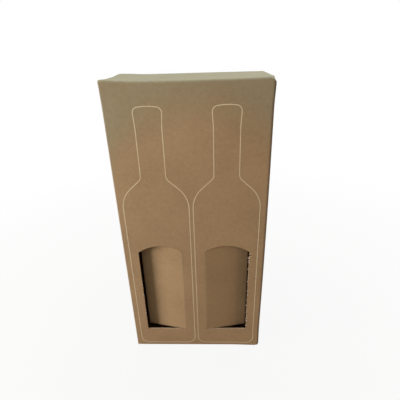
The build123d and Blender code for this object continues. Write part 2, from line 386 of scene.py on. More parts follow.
# Lid, from its crease on the front panel over the top to the end of its tuck
TUCK_TANGENT = FOLD_RADIUS * math.tan(math.radians(90 + TUCK_LEAN) / 2)
LID_PANEL = TUCK_BACK - TUCK_TANGENT + HALF_DEPTH - FOLD_RADIUS
LID_FOLD = Fold(
    (HALF_DEPTH, LID_CREASE_HEIGHT),
    90,
    (FOLD_STUB, 90),
    (LID_PANEL, 90 + TUCK_LEAN),
    (TUCK_LENGTH - TUCK_TANGENT, 0),
)
LID_TOP_START, TUCK_START = LID_FOLD.starts[1:]
TUCK_FOLD_START = LID_TOP_START + LID_PANEL
PART_TURN = FOLD_RADIUS * math.acos(1 - BOARD / FOLD_RADIUS)
LID_HALF = HALF_WIDTH - LID_SIDE_STEP
TUCK_HALF = HALF_WIDTH - BOARD - TUCK_SIDE_GAP


def smooth(value):
    """Soft step from 0 to 1."""
    value = min(max(value, 0.0), 1.0)
    return value * value * (3 - 2 * value)


def given_way(point):
    """A point of the clean box, moved as the used board has given way."""
    x, y, z = point
    height = min(max(z / BOX_HEIGHT, 0.0), 1.0)
    belly = math.sin(math.pi * height)
    across = x / HALF_WIDTH
    inward = y / HALF_DEPTH
    x += SIDE_SWELL * belly * smooth((across - SIDE_SWELL_START) / (1 - SIDE_SWELL_START))
    y += FRONT_SWELL * belly * inward * (1 - across * across)
    front = smooth((TOP_SAG_BACK - inward) / (TOP_SAG_BACK + 1))
    high = smooth((height - TOP_SAG_START) / (1 - TOP_SAG_START))
    z -= TOP_SAG * high * max(1 - across * across, 0.0) * front
    place = Vector((x, y, z))
    moved = place.copy()
    for corner, reach, move in CORNER_MOVES:
        away = [offset / limit for offset, limit in zip(place - corner, reach)]
        moved += move * smooth(1 - Vector(away).length)
    return moved


def wall_of(u):
    """The wall at u: its middle, lower end and upper end, or None at a corner and on the glue flap."""
    if u <= BACK_END:
        return BACK_MIDDLE, FOLD_LEG, BOX_HEIGHT
    if LEFT_START <= u <= LEFT_END:
        return LEFT_MIDDLE, SIDE_LOW, SIDE_HIGH
    if FRONT_START <= u <= FRONT_END:
        return FRONT_MIDDLE, FOLD_LEG, BOX_HEIGHT
    if RIGHT_START <= u <= RIGHT_END:
        return RIGHT_MIDDLE, SIDE_LOW, SIDE_HIGH
    return None


def carton_point(u, v, w):
    """Where a point of the carton's blank comes to lie."""
    wall = wall_of(u)
    if wall is None or wall[1] <= v <= wall[2]:
        x, y = SLEEVE.through(u, w)
        return given_way((x, y, v))
    middle, low, high = wall
    x, y, angle = SLEEVE.at(middle)
    if v < low:
        inward, z = BASE_FOLD.through(low - v, w)
        z += low - FOLD_LEG
        reach = low - v - FLAP_RUN
        if low == FOLD_LEG and u > middle:
            z += SECOND_SHEET * min(max((reach - RAMP_START) / LOCK_RAMP, 0.0), 1.0)
    else:
        inward, z = BASE_FOLD.through(v - high, w)
        z = high + FOLD_LEG - z
    run = u - middle
    x += run * math.cos(angle) - inward * math.sin(angle)
    y += run * math.sin(angle) + inward * math.cos(angle)
    return given_way((x, y, z))


def lid_point(u, v, w):
    """Where a point of the lid's blank comes to lie."""
    y, z = LID_FOLD.through(v, w)
    return given_way((u, -y, z))


def flap_trace(rest, curl):
    """Plan of a window flap's inner face, in even steps: (distance out, distance back, angle)."""
    trace = []
    out = back = 0.0
    first = math.radians(rest - curl / 2)
    for step in range(int(FLAP_LENGTH / FLAP_TRACE_STEP) + 2):
        along = step * FLAP_TRACE_STEP
        angle = first * smooth(along / FLAP_BEND) + math.radians(curl) * along / FLAP_LENGTH
        trace.append((out, back, angle))
        out += FLAP_TRACE_STEP * math.cos(angle)
        back += FLAP_TRACE_STEP * math.sin(angle)
    return np.array(trace)


FLAP_TRACES = {side: flap_trace(FLAP_REST_ANGLE[side], FLAP_CURL_ANGLE[side]) for side in (1, -1)}


def flap_point(u, v, w):
    """Where a point of a window flap's blank comes to lie: u is its place across the closed front."""
    side = 1 if u > 0 else -1
    trace = FLAP_TRACES[side]
    step = max(abs(u) - WINDOW_HINGE, 0.0) / FLAP_TRACE_STEP
    before = min(int(step), len(trace) - 2)
    out, back, angle = trace[before] + (trace[before + 1] - trace[before]) * (step - before)
    depth = BOARD - w
    x = WINDOW_HINGE + out + depth * math.sin(angle)
    y = BOARD - HALF_DEPTH + back - depth * math.cos(angle)
    return given_way((side * x, y, v))


def rounded(corners):
    """Closed outline through (u, v, radius) corners, with arcs at those that have a radius."""
    outline = []
    count = len(corners)
    for place in range(count):
        u, v, radius = corners[place]
        here = Vector((u, v))
        if not radius:
            outline.append(here)
            continue
        before = (Vector(corners[place - 1][:2]) - here).normalized()
        after = (Vector(corners[(place + 1) % count][:2]) - here).normalized()
        half = math.acos(max(-1.0, min(1.0, before.dot(after)))) / 2
        tangent = radius / math.tan(half)
        centre = here + (before + after).normalized() * (radius / math.sin(half))
        first = here + before * tangent - centre
        turn = math.pi - 2 * half
        if before.cross(after) > 0:
            turn = -turn
        steps = max(int(abs(turn) / ARC_STEP), 2)
        for step in range(steps + 1):
            angle = turn * step / steps
            spun = Vector((
                first.x * math.cos(angle) - first.y * math.sin(angle),
                first.x * math.sin(angle) + first.y * math.cos(angle),
            ))
            outline.append(centre + spun)
    return outline


def stepped(outline):
    """The closed outline with points close enough along it to show the flutes where it crosses them."""
    points = []
    for here, after in zip(outline, outline[1:] + outline[:1]):
        way = after - here
        steps = max(abs(way.x) / STEP_ACROSS_FLUTES, abs(way.y) / STEP_ALONG_FLUTES, 1.0)
        steps = math.ceil(steps - ROUNDING)
        points += [here + way * (step / steps) for step in range(steps)]
    return points


def line(first, last, step):
    """A guide line through the inside of a blank, in even steps, kept just off its edges."""
    first = Vector(first)
    last = Vector(last)
    way = (last - first).normalized()
    first += way * GUIDE_MARGIN
    last -= way * GUIDE_MARGIN
    steps = max(math.ceil((last - first).length / step), 1)
    return [first.lerp(last, place / steps) for place in range(steps + 1)]


def inside(points, loops):
    """Which points lie on the sheet: those inside an odd number of its loops."""
    px, py = np.array(points).T
    within = np.zeros(len(px), bool)
    for loop in loops:
        for (x0, y0), (x1, y1) in zip(loop, loop[1:] + loop[:1]):
            if y0 != y1:
                crossed = (y0 > py) != (y1 > py)
                within ^= crossed & (px < x0 + (py - y0) * (x1 - x0) / (y1 - y0))
    return within


def triangulated(loops, guides, grid):
    """Flat triangles of a blank: its points, and the corners of each triangle, turning left."""
    points = []
    edges = []
    for chain, closed in [(loop, True) for loop in loops] + [(guide, False) for guide in guides]:
        first = len(points)
        points += chain
        edges += [(first + place, first + place + 1) for place in range(len(chain) - 1)]
        if closed:
            edges.append((len(points) - 1, first))
    near = kdtree.KDTree(len(points))
    for place, point in enumerate(points):
        near.insert((point.x, point.y, 0), place)
    near.balance()
    low = np.min([tuple(point) for point in loops[0]], axis=0)
    high = np.max([tuple(point) for point in loops[0]], axis=0)
    lattice = [
        Vector((u, v))
        for u in np.arange(low[0] + grid / 2, high[0], grid)
        for v in np.arange(low[1] + grid / 2, high[1], grid)
        if near.find((u, v, 0))[2] > grid / 2
    ]
    points += [point for point, within in zip(lattice, inside(lattice, loops)) if within]
    found, _, faces = geometry.delaunay_2d_cdt(points, edges, [], 0, ROUNDING)[:3]
    middles = [sum((found[corner] for corner in face), Vector((0, 0))) / 3 for face in faces]
    kept = []
    for face, within in zip(faces, inside(middles, loops)):
        a, b, c = face
        area = (found[b] - found[a]).cross(found[c] - found[a]) / 2
        if within and abs(area) > SLIVER:
            kept.append((a, b, c) if area > 0 else (a, c, b))
    used = sorted({corner for face in kept for corner in face})
    place = {corner: index for index, corner in enumerate(used)}
    return [found[corner] for corner in used], [tuple(place[corner] for corner in face) for face in kept]


def new_piece(name, verts, faces):
    """A new object with a mesh of its own."""
    mesh = bpy.data.meshes.new(name)
    mesh.from_pydata(verts, [], faces)
    piece = bpy.data.objects.new(name, mesh)
    bpy.context.collection.objects.link(piece)
    return piece


def tube_faces(a, b):
    """Faces between two rings of corners that start at a and b, which run round the same way."""
    return [(b + turn, a + turn, a + (turn + 1) % RING, b + (turn + 1) % RING) for turn in range(RING)]


class Sheet:
    """A folded piece of board with both liners, and cut edges that show the fluting."""

    def __init__(self, name, loops, guides, grid, place, joined, worn, corner):
        self.place = place
        self.joined = joined
        self.worn = worn
        self.corner = corner
        self.verts = []
        self.blank = []
        self.rub_and_painted_light = []
        self.faces = []
        self.slots = []
        self.flat, triangles = triangulated(loops, guides, grid)
        self.outer = [self.add(point, 0.0) for point in self.flat]
        self.inner = [self.add(point, BOARD) for point in self.flat]
        for a, b, c in triangles:
            self.face(OUTER, self.outer[a], self.outer[b], self.outer[c])
            self.face(INNER, self.inner[a], self.inner[c], self.inner[b])
        self.edge_faces(triangles)
        self.piece = new_piece(name, [vert * MM for vert in self.verts], self.faces)
        self.mesh = self.piece.data
        self.mesh.polygons.foreach_set("material_index", self.slots)
        self.mesh.polygons.foreach_set("use_smooth", [True] * len(self.faces))
        self.mesh.set_sharp_from_angle(angle=SMOOTH_ANGLE)
        blank = self.mesh.attributes.new("blank", "FLOAT_VECTOR", "POINT")
        blank.data.foreach_set("vector", np.array(self.blank, np.float32).ravel() * MM)
        # Kept with the points: the painted crease shade with rubbing, and the painted cool light towards the
        # top
        for kind, values in zip(("crease", "painted_light"), np.array(self.rub_and_painted_light, np.float32).T):
            rub_and_painted_light = self.mesh.attributes.new(kind, "FLOAT", "POINT")
            rub_and_painted_light.data.foreach_set("value", values.copy())

    def add(self, point, w):
        """A new corner at this point of the blank and depth."""
        self.verts.append(self.place(point.x, point.y, w))
        self.blank.append((point.x + self.corner[0], point.y + self.corner[1], w))
        self.rub_and_painted_light.append(self.worn(point))
        return len(self.verts) - 1

    def face(self, slot, *corners):
        """A new face with one of the board's surfaces."""
        self.faces.append(corners)
        self.slots.append(slot)

    def edge_faces(self, triangles):
        """Closes the sheet along its outline: plainly at a crease, with fluting at a cut."""
        ways = {(a, b) for face in triangles for a, b in zip(face, face[1:] + face[:1])}
        after = {a: b for a, b in ways if (b, a) not in ways}
        before = {b: a for a, b in after.items()}
        cut = {a: not self.joined(self.flat[a].lerp(self.flat[b], 0.5)) for a, b in after.items()}
        drawn_in = {}
        for here in after:
            lefts = []
            for a, b in ((before[here], here), (here, after[here])):
                way = (self.flat[b] - self.flat[a]).normalized()
                lefts.append(Vector((-way.y, way.x)))
            drawn_in[here] = (lefts[0] + lefts[1]) / max(1 + lefts[0].dot(lefts[1]), MITRE_LIMIT)
        rims = {}
        for here in after:
            rims[here] = [self.outer[here], self.inner[here]]
            if cut[here] or cut[before[here]]:
                deep = self.flat[here] + drawn_in[here] * EDGE_RECESS
                recess = [
                    self.add(self.flat[here], LINER),
                    self.add(deep, LINER),
                    self.add(deep, BOARD - LINER),
                    self.add(self.flat[here], BOARD - LINER),
                ]
                rims[here][1:1] = recess
                if cut[here] != cut[before[here]]:
                    self.face(CUT, *(recess if cut[here] else reversed(recess)))
        for here, there in after.items():
            if cut[here]:
                for a, b, c, d in zip(rims[here], rims[here][1:], rims[there], rims[there][1:]):
                    self.face(CUT, c, a, b, d)
            else:
                # The side of a crease leaves out the deep corners of a cut that ends at it
                first, last = [rim[:2] + rim[4:] for rim in (rims[here], rims[there])]
                self.face(CUT, *first, *reversed(last))
        self.medium_faces(after, before, cut, drawn_in)

    def medium_faces(self, after, before, cut, drawn_in):
        """The wavy paper between the liners, along every cut edge."""
        rise = BOARD / 2 - LINER - MEDIUM / 2
        strips = {}
        for here in after:
            if cut[here] or cut[before[here]]:
                point = self.flat[here]
                wave = BOARD / 2 + rise * math.cos(2 * math.pi * point.x / FLUTE_PITCH)
                front = point + drawn_in[here] * MEDIUM_RECESS
                rear = point + drawn_in[here] * (EDGE_RECESS + MEDIUM_RECESS)
                strips[here] = [
                    self.add(front, wave - MEDIUM / 2),
                    self.add(front, wave + MEDIUM / 2),
                    self.add(rear, wave + MEDIUM / 2),
                    self.add(rear, wave - MEDIUM / 2),
                ]
        for here, there in after.items():
            if not cut[here]:
                continue
            for face in tube_faces(strips[here][0], strips[there][0]):
                self.face(CUT, *face)
            if not cut[before[here]]:
                self.face(CUT, *reversed(strips[here]))
            if not cut[there]:
                self.face(CUT, *strips[there])


def nicks(side):
    """Torn bridges left on a window's free side, as points (height, reach into the window), going up."""
    chance = random.Random(NICK_SEED[side])
    points = []
    height = WINDOW_SILL_HEIGHT + NICK_SPACING / 2
    top = min([WINDOW_SILL_HEIGHT + WINDOW_SIDE_HEIGHT] + [tear[0] for tear in TEARS[side]])
    while height < top - NICK_SPACING / 2:
        width = chance.uniform(*NICK_WIDTH)
        reach = chance.uniform(*NICK_REACH[side])
        tip = chance.uniform(*NICK_TIP)
        points += [
            (height, 0.0),
            (height + width * tip * NICK_SHOULDER, reach * chance.uniform(*NICK_SHOULDER_REACH)),
            (height + width * tip, reach),
            (height + width * (tip + 1) / 2, reach * chance.uniform(*NICK_TAIL_REACH)),
            (height + width, 0.0),
        ]
        height += NICK_SPACING * chance.uniform(*NICK_SPACING_CHANGE)
    for height, width, reach in TEARS[side]:
        end = width * TEAR_TAPER
        points += [
            (height, 0.0),
            (height + end, -reach),
            (height + width - end, -reach),
            (height + width, 0.0),
        ]
    return points


def window_loop(hinge, gap, torn=()):
    """Outline of a window or its flap, from its hinge: gap is what the knife takes off each cut side."""
    free = hinge + WINDOW_WIDTH - gap
    low = WINDOW_SILL_HEIGHT + gap
    spring = WINDOW_SILL_HEIGHT + WINDOW_SIDE_HEIGHT - gap
    half = (free - hinge) / 2
    radius = (half * half + WINDOW_ARCH_RISE * WINDOW_ARCH_RISE) / (2 * WINDOW_ARCH_RISE)
    centre = Vector((hinge + half, spring + WINDOW_ARCH_RISE - radius))
    span = math.asin(half / radius)
    steps = math.ceil(2 * half / STEP_ACROSS_FLUTES)
    arch = [
        centre + radius * Vector((math.sin(span * side), math.cos(span * side)))
        for side in (1 - 2 * step / steps for step in range(steps + 1))
    ]
    torn_side = [Vector((free - reach, height)) for height, reach in torn]
    return [Vector((hinge, low)), Vector((free, low))] + torn_side + arch


def mirrored(loop, middle):
    """An outline mirrored about a line u = middle, still turning the same way."""
    return [Vector((2 * middle - point.x, point.y)) for point in reversed(loop)]


def torn_window(side):
    """Outline of a window in the front panel, with its torn bridges, drawn on the right for both sides."""
    return [point + Vector((FRONT_MIDDLE, 0)) for point in window_loop(WINDOW_HINGE, 0, nicks(side))]


def flap_corners(middle, low, outline):
    """Corners of a base flap, given as (offset along the wall, reach, radius)."""
    return [(middle + along, low - reach - FLAP_RUN, radius) for along, reach, radius in outline]


def carton_loops():
    """Outline of the carton's blank, turning left, and its two windows."""
    slope = BASE_FLAP_TAPER / SEAM_FAR
    half = FRONT_FOLD_HALF
    locking = [
        (-half + BASE_FLAP_TAPER, SEAM_FAR, 0),
        (-LOCK_SEAM / 2, SEAM_FAR, 0),
        (-LOCK_SEAM / 2, RAMP_START, 0),
        (LOCK_SEAM / 2, RAMP_START, 0),
        (LOCK_SEAM / 2, TONGUE_END, LOCK_TONGUE_CORNER),
        (TONGUE_SIDE, TONGUE_END, LOCK_TONGUE_CORNER),
        (TONGUE_SIDE, RAMP_START, 0),
        (half - slope * RAMP_START, RAMP_START, 0),
    ]
    tip = SIDE_FOLD_HALF - SIDE_FLAP_SLANT
    side = [(-tip, SIDE_FLAP_REACH, 0), (tip, SIDE_FLAP_REACH, 0)]
    dust_shoulder = SIDE_HIGH + (DUST_FLAP_REACH / 2 + FLAP_RUN)
    dust_end = SIDE_HIGH + (DUST_FLAP_REACH + FLAP_RUN)
    dust = [
        (DUST_FLAP_BACK, SIDE_HIGH, 0),
        (DUST_FLAP_BACK, dust_shoulder, 0),
        (DUST_FLAP_BACK - DUST_FLAP_TAPER, dust_end, DUST_FLAP_CORNER),
        (DUST_FLAP_TAPER - SIDE_FOLD_HALF, dust_end, DUST_FLAP_CORNER),
        (-SIDE_FOLD_HALF, SIDE_HIGH, 0),
    ]
    right_dust = [(RIGHT_MIDDLE + along, v, radius) for along, v, radius in dust]
    left_dust = [(LEFT_MIDDLE - along, v, radius) for along, v, radius in reversed(dust)]
    outline = [
        (0, CORNER_FOOT, 0),
        (FOLD_RADIUS, CORNER_FOOT, 0),
        (FOLD_RADIUS, FOLD_LEG, 0),
        (BACK_MIDDLE - half, FOLD_LEG, 0),
        *flap_corners(BACK_MIDDLE, FOLD_LEG, locking),
        (BACK_MIDDLE + half, FOLD_LEG, 0),
        (BACK_END, FOLD_LEG, 0),
        (BACK_END, CORNER_FOOT, 0),
        (LEFT_START, CORNER_FOOT, 0),
        (LEFT_START, SIDE_LOW, 0),
        (LEFT_START + CORNER_SLIT, SIDE_LOW, 0),
        *flap_corners(LEFT_MIDDLE, SIDE_LOW, side),
        (LEFT_END - CORNER_SLIT, SIDE_LOW, 0),
        (LEFT_END, SIDE_LOW, 0),
        (LEFT_END, CORNER_FOOT, 0),
        (FRONT_START, CORNER_FOOT, 0),
        (FRONT_START, FOLD_LEG, 0),
        (FRONT_MIDDLE - half, FOLD_LEG, 0),
        *flap_corners(FRONT_MIDDLE, FOLD_LEG, locking),
        (FRONT_MIDDLE + half, FOLD_LEG, 0),
        (FRONT_END, FOLD_LEG, 0),
        (FRONT_END, CORNER_FOOT, 0),
        (RIGHT_START, CORNER_FOOT, 0),
        (RIGHT_START, SIDE_LOW, 0),
        (RIGHT_START + CORNER_SLIT, SIDE_LOW, 0),
        *flap_corners(RIGHT_MIDDLE, SIDE_LOW, side),
        (RIGHT_FLAP_END, SIDE_LOW, 0),
        (RIGHT_END, SIDE_LOW, 0),
        (GLUE_START, GLUE_FLAP_LOW, 0),
        (SLEEVE.length, GLUE_FLAP_LOW + GLUE_FLAP_SLANT, 0),
        (SLEEVE.length, GLUE_FLAP_HIGH - GLUE_FLAP_SLANT, 0),
        (GLUE_START, GLUE_FLAP_HIGH, 0),
        (GLUE_START, SIDE_HIGH, 0),
        *right_dust,
        (RIGHT_START, SIDE_HIGH, 0),
        (RIGHT_START, CORNER_TOP, 0),
        (FRONT_MIDDLE + half, CORNER_TOP, 0),
        (FRONT_MIDDLE + half, LID_CREASE_HEIGHT, 0),
        (FRONT_MIDDLE - half, LID_CREASE_HEIGHT, 0),
        (FRONT_MIDDLE - half, CORNER_TOP, 0),
        (LEFT_END, CORNER_TOP, 0),
        (LEFT_END, SIDE_HIGH, 0),
        *left_dust,
        (LEFT_START, SIDE_HIGH, 0),
        (LEFT_START, CORNER_TOP, 0),
        (BACK_MIDDLE + half, CORNER_TOP, 0),
        (BACK_MIDDLE + half, BACK_HIGH, 0),
        (BACK_MIDDLE - half, BACK_HIGH, 0),
        (BACK_MIDDLE - half, CORNER_TOP, 0),
        (0, CORNER_TOP, 0),
    ]
    left_window = mirrored(torn_window(-1), FRONT_MIDDLE)
    return [stepped(rounded(outline)), stepped(torn_window(1)), stepped(left_window)]


def flap_fold_guides(first, last, start, slant, way):
    """Lines along the fold of a flap that runs down (-1) or up (1) from its wall and narrows by a slant."""
    guides = []
    for bend in [0.0] + [FOLD_STUB + QUARTER * step / FOLD_STEPS for step in range(FOLD_STEPS + 1)]:
        v = start + way * bend
        guides.append(line((first + slant * bend, v), (last - slant * bend, v), GRID_CARTON))
    return guides


def carton_guides():
    """Fold lines of the carton's blank."""
    guides = []
    for start in (BACK_END, LEFT_END, FRONT_END):
        for step in range(FOLD_STEPS + 1):
            u = start + QUARTER * step / FOLD_STEPS
            u = min(max(u, start + FOLD_MARGIN), start + QUARTER - FOLD_MARGIN)
            guides.append(line((u, CORNER_FOOT), (u, CORNER_TOP), GRID_CORNER))
        for u in (start - CREASE_SIDE, start + QUARTER + CREASE_SIDE):
            guides.append(line((u, SIDE_LOW), (u, SIDE_HIGH), GRID_CARTON))
    for step in range(FOLD_STEPS + 1):
        u = min(RIGHT_END + QUARTER * step / FOLD_STEPS, GLUE_START - FOLD_MARGIN)
        guides.append(line((u, GLUE_FLAP_LOW), (u, SIDE_HIGH), GRID_CARTON))
    side_slant = SIDE_FLAP_SLANT / SIDE_FLAP_REACH
    for first, last, low, slant in (
        (BACK_MIDDLE - FRONT_FOLD_HALF, BACK_MIDDLE + FRONT_FOLD_HALF, FOLD_LEG, 1.0),
        (LEFT_MIDDLE - SIDE_FOLD_HALF, LEFT_MIDDLE + SIDE_FOLD_HALF, SIDE_LOW, side_slant),
        (FRONT_MIDDLE - FRONT_FOLD_HALF, FRONT_MIDDLE + FRONT_FOLD_HALF, FOLD_LEG, 1.0),
        (RIGHT_MIDDLE - SIDE_FOLD_HALF, RIGHT_FLAP_END, SIDE_LOW, side_slant),
    ):
        guides += flap_fold_guides(first, last, low, slant, -1)
    for middle in (BACK_MIDDLE, FRONT_MIDDLE):
        for reach in (RAMP_START, SEAM_NEAR):
            v = FOLD_LEG - reach - FLAP_RUN - GUIDE_MARGIN
            guides.append(line((middle + LOCK_SEAM, v), (middle + TONGUE_SIDE, v), GRID_CARTON))
    for first, last in (
        (RIGHT_MIDDLE - SIDE_FOLD_HALF, RIGHT_MIDDLE + DUST_FLAP_BACK),
        (LEFT_MIDDLE - DUST_FLAP_BACK, LEFT_MIDDLE + SIDE_FOLD_HALF),
    ):
        guides += flap_fold_guides(first, last, SIDE_HIGH, DUST_GUIDE_SLANT, 1)
    return guides


def carton_joined(point):
    """Whether an edge of the carton's blank is a crease that another piece hangs on."""
    if abs(point.y - LID_CREASE_HEIGHT) < ON_LINE:
        return abs(point.x - FRONT_MIDDLE) < FRONT_FOLD_HALF
    at_hinge = abs(abs(point.x - FRONT_MIDDLE) - WINDOW_HINGE) < ON_LINE
    return at_hinge and WINDOW_SILL_HEIGHT < point.y < WINDOW_SILL_HEIGHT + WINDOW_SIDE_HEIGHT


def carton_rub_and_painted_light(point):
    """How dark a corner fold is with painted shade and some rubbing, most in a corner fold's middle, and how
    much painted cool light tints the board, most at the front's top.
    """
    middles = [start + QUARTER / 2 for start in (BACK_END, LEFT_END, FRONT_END, RIGHT_END)]
    off = min(abs(point.x - middle) for middle in middles)
    # Painted cool light towards the front's top, dying away round its corners
    across = min(max((point.x - FRONT_MIDDLE) / HALF_WIDTH, -1.0), 1.0)
    low = PAINTED_LIGHT_LOW + PAINTED_LIGHT_TILT * across - PAINTED_LIGHT_ARCH * across * across
    painted_light = smooth((point.y - low) / PAINTED_LIGHT_SPAN)
    round_corner = max(FRONT_START - point.x, point.x - FRONT_END, 0.0)
    painted_light *= 1 - smooth(round_corner / PAINTED_LIGHT_ROUND_CORNER)
    if round_corner > QUARTER:
        painted_light *= 1 - smooth((point.y - SIDE_HIGH) / FOLD_LEG)
    return smooth(CORNER_CREASE_PEAK * (1 - off / (QUARTER / 2 + CREASE_SIDE))), painted_light


def lid_loops():
    """Outline of the lid's blank, turning left."""
    panel_end = TUCK_FOLD_START + PART_TURN
    slit_end = TUCK_FOLD_START + QUARTER
    side = [
        (FRONT_FOLD_HALF, 0, 0),
        (LID_HALF, 0, 0),
        (LID_HALF, panel_end, 0),
        (TUCK_HALF - TUCK_SLIT_LENGTH, panel_end, 0),
        (TUCK_HALF - TUCK_SLIT_LENGTH, slit_end, 0),
        (TUCK_HALF, slit_end, 0),
        (TUCK_HALF - TUCK_SIDE_TAPER, LID_FOLD.length, TUCK_CORNER_RADIUS),
    ]
    other = [(-u, v, radius) for u, v, radius in reversed(side)]
    return [stepped(rounded(side + other))]


def lid_guides():
    """Fold lines of the lid's blank."""
    guides = []
    for step in range(FOLD_STEPS + 1):
        v = FOLD_STUB + QUARTER * step / FOLD_STEPS
        guides.append(line((-LID_HALF, v), (LID_HALF, v), GRID_LID))
    bend = TUCK_START - TUCK_FOLD_START
    half = TUCK_HALF - TUCK_SLIT_LENGTH
    for step in range(FOLD_STEPS + 1):
        v = TUCK_FOLD_START + bend * step / FOLD_STEPS
        guides.append(line((-half, v), (half, v), GRID_LID))
    return guides


def lid_joined(point):
    """Whether an edge of the lid's blank is its crease on the front panel."""
    return abs(point.y) < ON_LINE and abs(point.x) < FRONT_FOLD_HALF


def lid_rub_and_painted_light(point):
    """How dark the lid is with painted shade and some rubbing, most in the middle of its tuck fold, and how
    much painted cool light tints it, wholly on its top.
    """
    half = (TUCK_START - TUCK_FOLD_START) / 2
    off = abs(point.y - TUCK_FOLD_START - half)
    # Painted cool light, wholly on the lid's top and none on its tuck
    painted_light = 1 - smooth((point.y - TUCK_FOLD_START) / (2 * half))
    return smooth(TUCK_CREASE_PEAK * (1 - off / half)), painted_light


def flap_joined(point):
    """Whether an edge of a window flap's blank is its crease."""
    return abs(abs(point.x) - WINDOW_HINGE) < ON_LINE


def flap_rub_and_painted_light(point):
    """How dark a window flap is with painted shade and some rubbing, most at its hinge, and how much painted
    cool light tints it, which is none.
    """
    return FLAP_CREASE * smooth(1 - (abs(point.x) - WINDOW_HINGE) / FLAP_BEND), 0.0


def flap_guides(side):
    """Lines beside a window flap's crease, where it bends."""
    spring = WINDOW_SILL_HEIGHT + WINDOW_SIDE_HEIGHT
    guides = []
    for away in FLAP_GUIDES:
        u = side * (WINDOW_HINGE + away)
        guides.append(line((u, WINDOW_SILL_HEIGHT + KNIFE_GAP), (u, spring), GRID_FLAP))
    return guides


def printed_outline(name, side):
    """Printed line of one bottle, a thin ribbon on the front panel."""
    path = rounded(BOTTLE_CORNERS + [(-u, v, radius) for u, v, radius in reversed(BOTTLE_CORNERS[:-1])])
    fine = []
    for here, after in zip(path, path[1:] + path[:1]):
        steps = max(math.ceil((after - here).length / STEP_ALONG_FLUTES), 1)
        fine += [here.lerp(after, step / steps) for step in range(steps)]
    middle = FRONT_MIDDLE + side * PRINT_OFFSET[side]
    ring = ((-1, -PRINT_RAISE), (1, -PRINT_RAISE), (1, PRINT_SINK), (-1, PRINT_SINK))
    verts = []
    faces = []
    for place, here in enumerate(fine):
        after = (place + 1) % len(fine)
        way = (fine[after] - fine[place - 1]).normalized()
        aside = Vector((-way.y, way.x)) * (PRINT_WIDTH / 2)
        for hand, w in ring:
            point = here + aside * hand
            verts.append(carton_point(middle + point.x, point.y, w) * MM)
        faces += tube_faces(RING * after, RING * place)
    return new_piece(name, verts, faces)


def torn_paper(name, side, flakes):
    """Curled scraps of torn liner on a window's free side."""
    verts = []
    faces = []
    edge = FRONT_MIDDLE + side * (WINDOW_HINGE + WINDOW_WIDTH)
    for height, length, width, lift, turn in flakes:
        first = len(verts)
        for step in range(SCRAP_STEPS + 1):
            along = step / SCRAP_STEPS
            half = width / 2 * (1 - SCRAP_NARROWING * along * along)
            u = edge + side * SCRAP_ROOT - side * length * along
            v = height + turn * along * along
            top = -lift * along * along
            under = top + SCRAP_THICKNESS
            for offset, w in ((-half, top), (half, top), (half, under), (-half, under)):
                verts.append(carton_point(u, v + offset, w) * MM)
        last = len(verts) - RING
        for ring in range(first, last, RING):
            faces += tube_faces(ring + RING, ring)
        faces += [range(first, first + RING), range(last + RING - 1, last - 1, -1)]
    piece = new_piece(name, verts, faces)
    outward = bmesh.new()
    outward.from_mesh(piece.data)
    bmesh.ops.recalc_face_normals(outward, faces=outward.faces)
    outward.to_mesh(piece.data)
    outward.free()
    return piece


def node(tree, kind, values=None, **settings):
    """A shader node with its settings, and its inputs set to numbers or joined to other nodes' outputs."""
    made = tree.nodes.new("ShaderNode" + kind)
    for key, value in settings.items():
        setattr(made, key, value)
    for key, value in (values or {}).items():
        if isinstance(value, bpy.types.NodeSocket):
            tree.links.new(value, made.inputs[key])
        else:
            made.inputs[key].default_value = value
    return made


def new_material(name):
    """An empty node material, with its tree and its surface shader."""
    material = bpy.data.materials.new(name)
    material.use_nodes = True
    tree = material.node_tree
    return material, tree, tree.nodes["Principled BSDF"]


def attribute(tree, name, output="Fac"):
    """A value that is kept with the points of a sheet."""
    return node(tree, "Attribute", attribute_name=name).outputs[output]


def noise_value(tree, vector, scale, detail, roughness, stretch):
    """Soft noise from 0 to 1."""
    stretched = node(tree, "Mapping", {"Vector": vector, "Scale": stretch}).outputs["Vector"]
    values = {"Vector": stretched, "Scale": scale, "Detail": detail, "Roughness": roughness}
    return node(tree, "TexNoise", values).outputs["Fac"]


def spread(tree, value, low, high, to_low=0.0, to_high=1.0):
    """A value's range, mapped to another one."""
    values = {"Value": value, "From Min": low, "From Max": high, "To Min": to_low, "To Max": to_high}
    return node(tree, "MapRange", values).outputs["Result"]


def mixed(tree, factor, first, second, blend="MIX"):
    """Two colours mixed."""
    values = {MIX_FACTOR: factor, MIX_FIRST: first, MIX_SECOND: second}
    return node(tree, "Mix", values, data_type="RGBA", blend_type=blend).outputs[MIX_RESULT]


def math_node(tree, operation, first, second=0.0):
    """Two values joined by an operation, or one value changed by it."""
    return node(tree, "Math", {0: first, 1: second}, operation=operation).outputs[0]


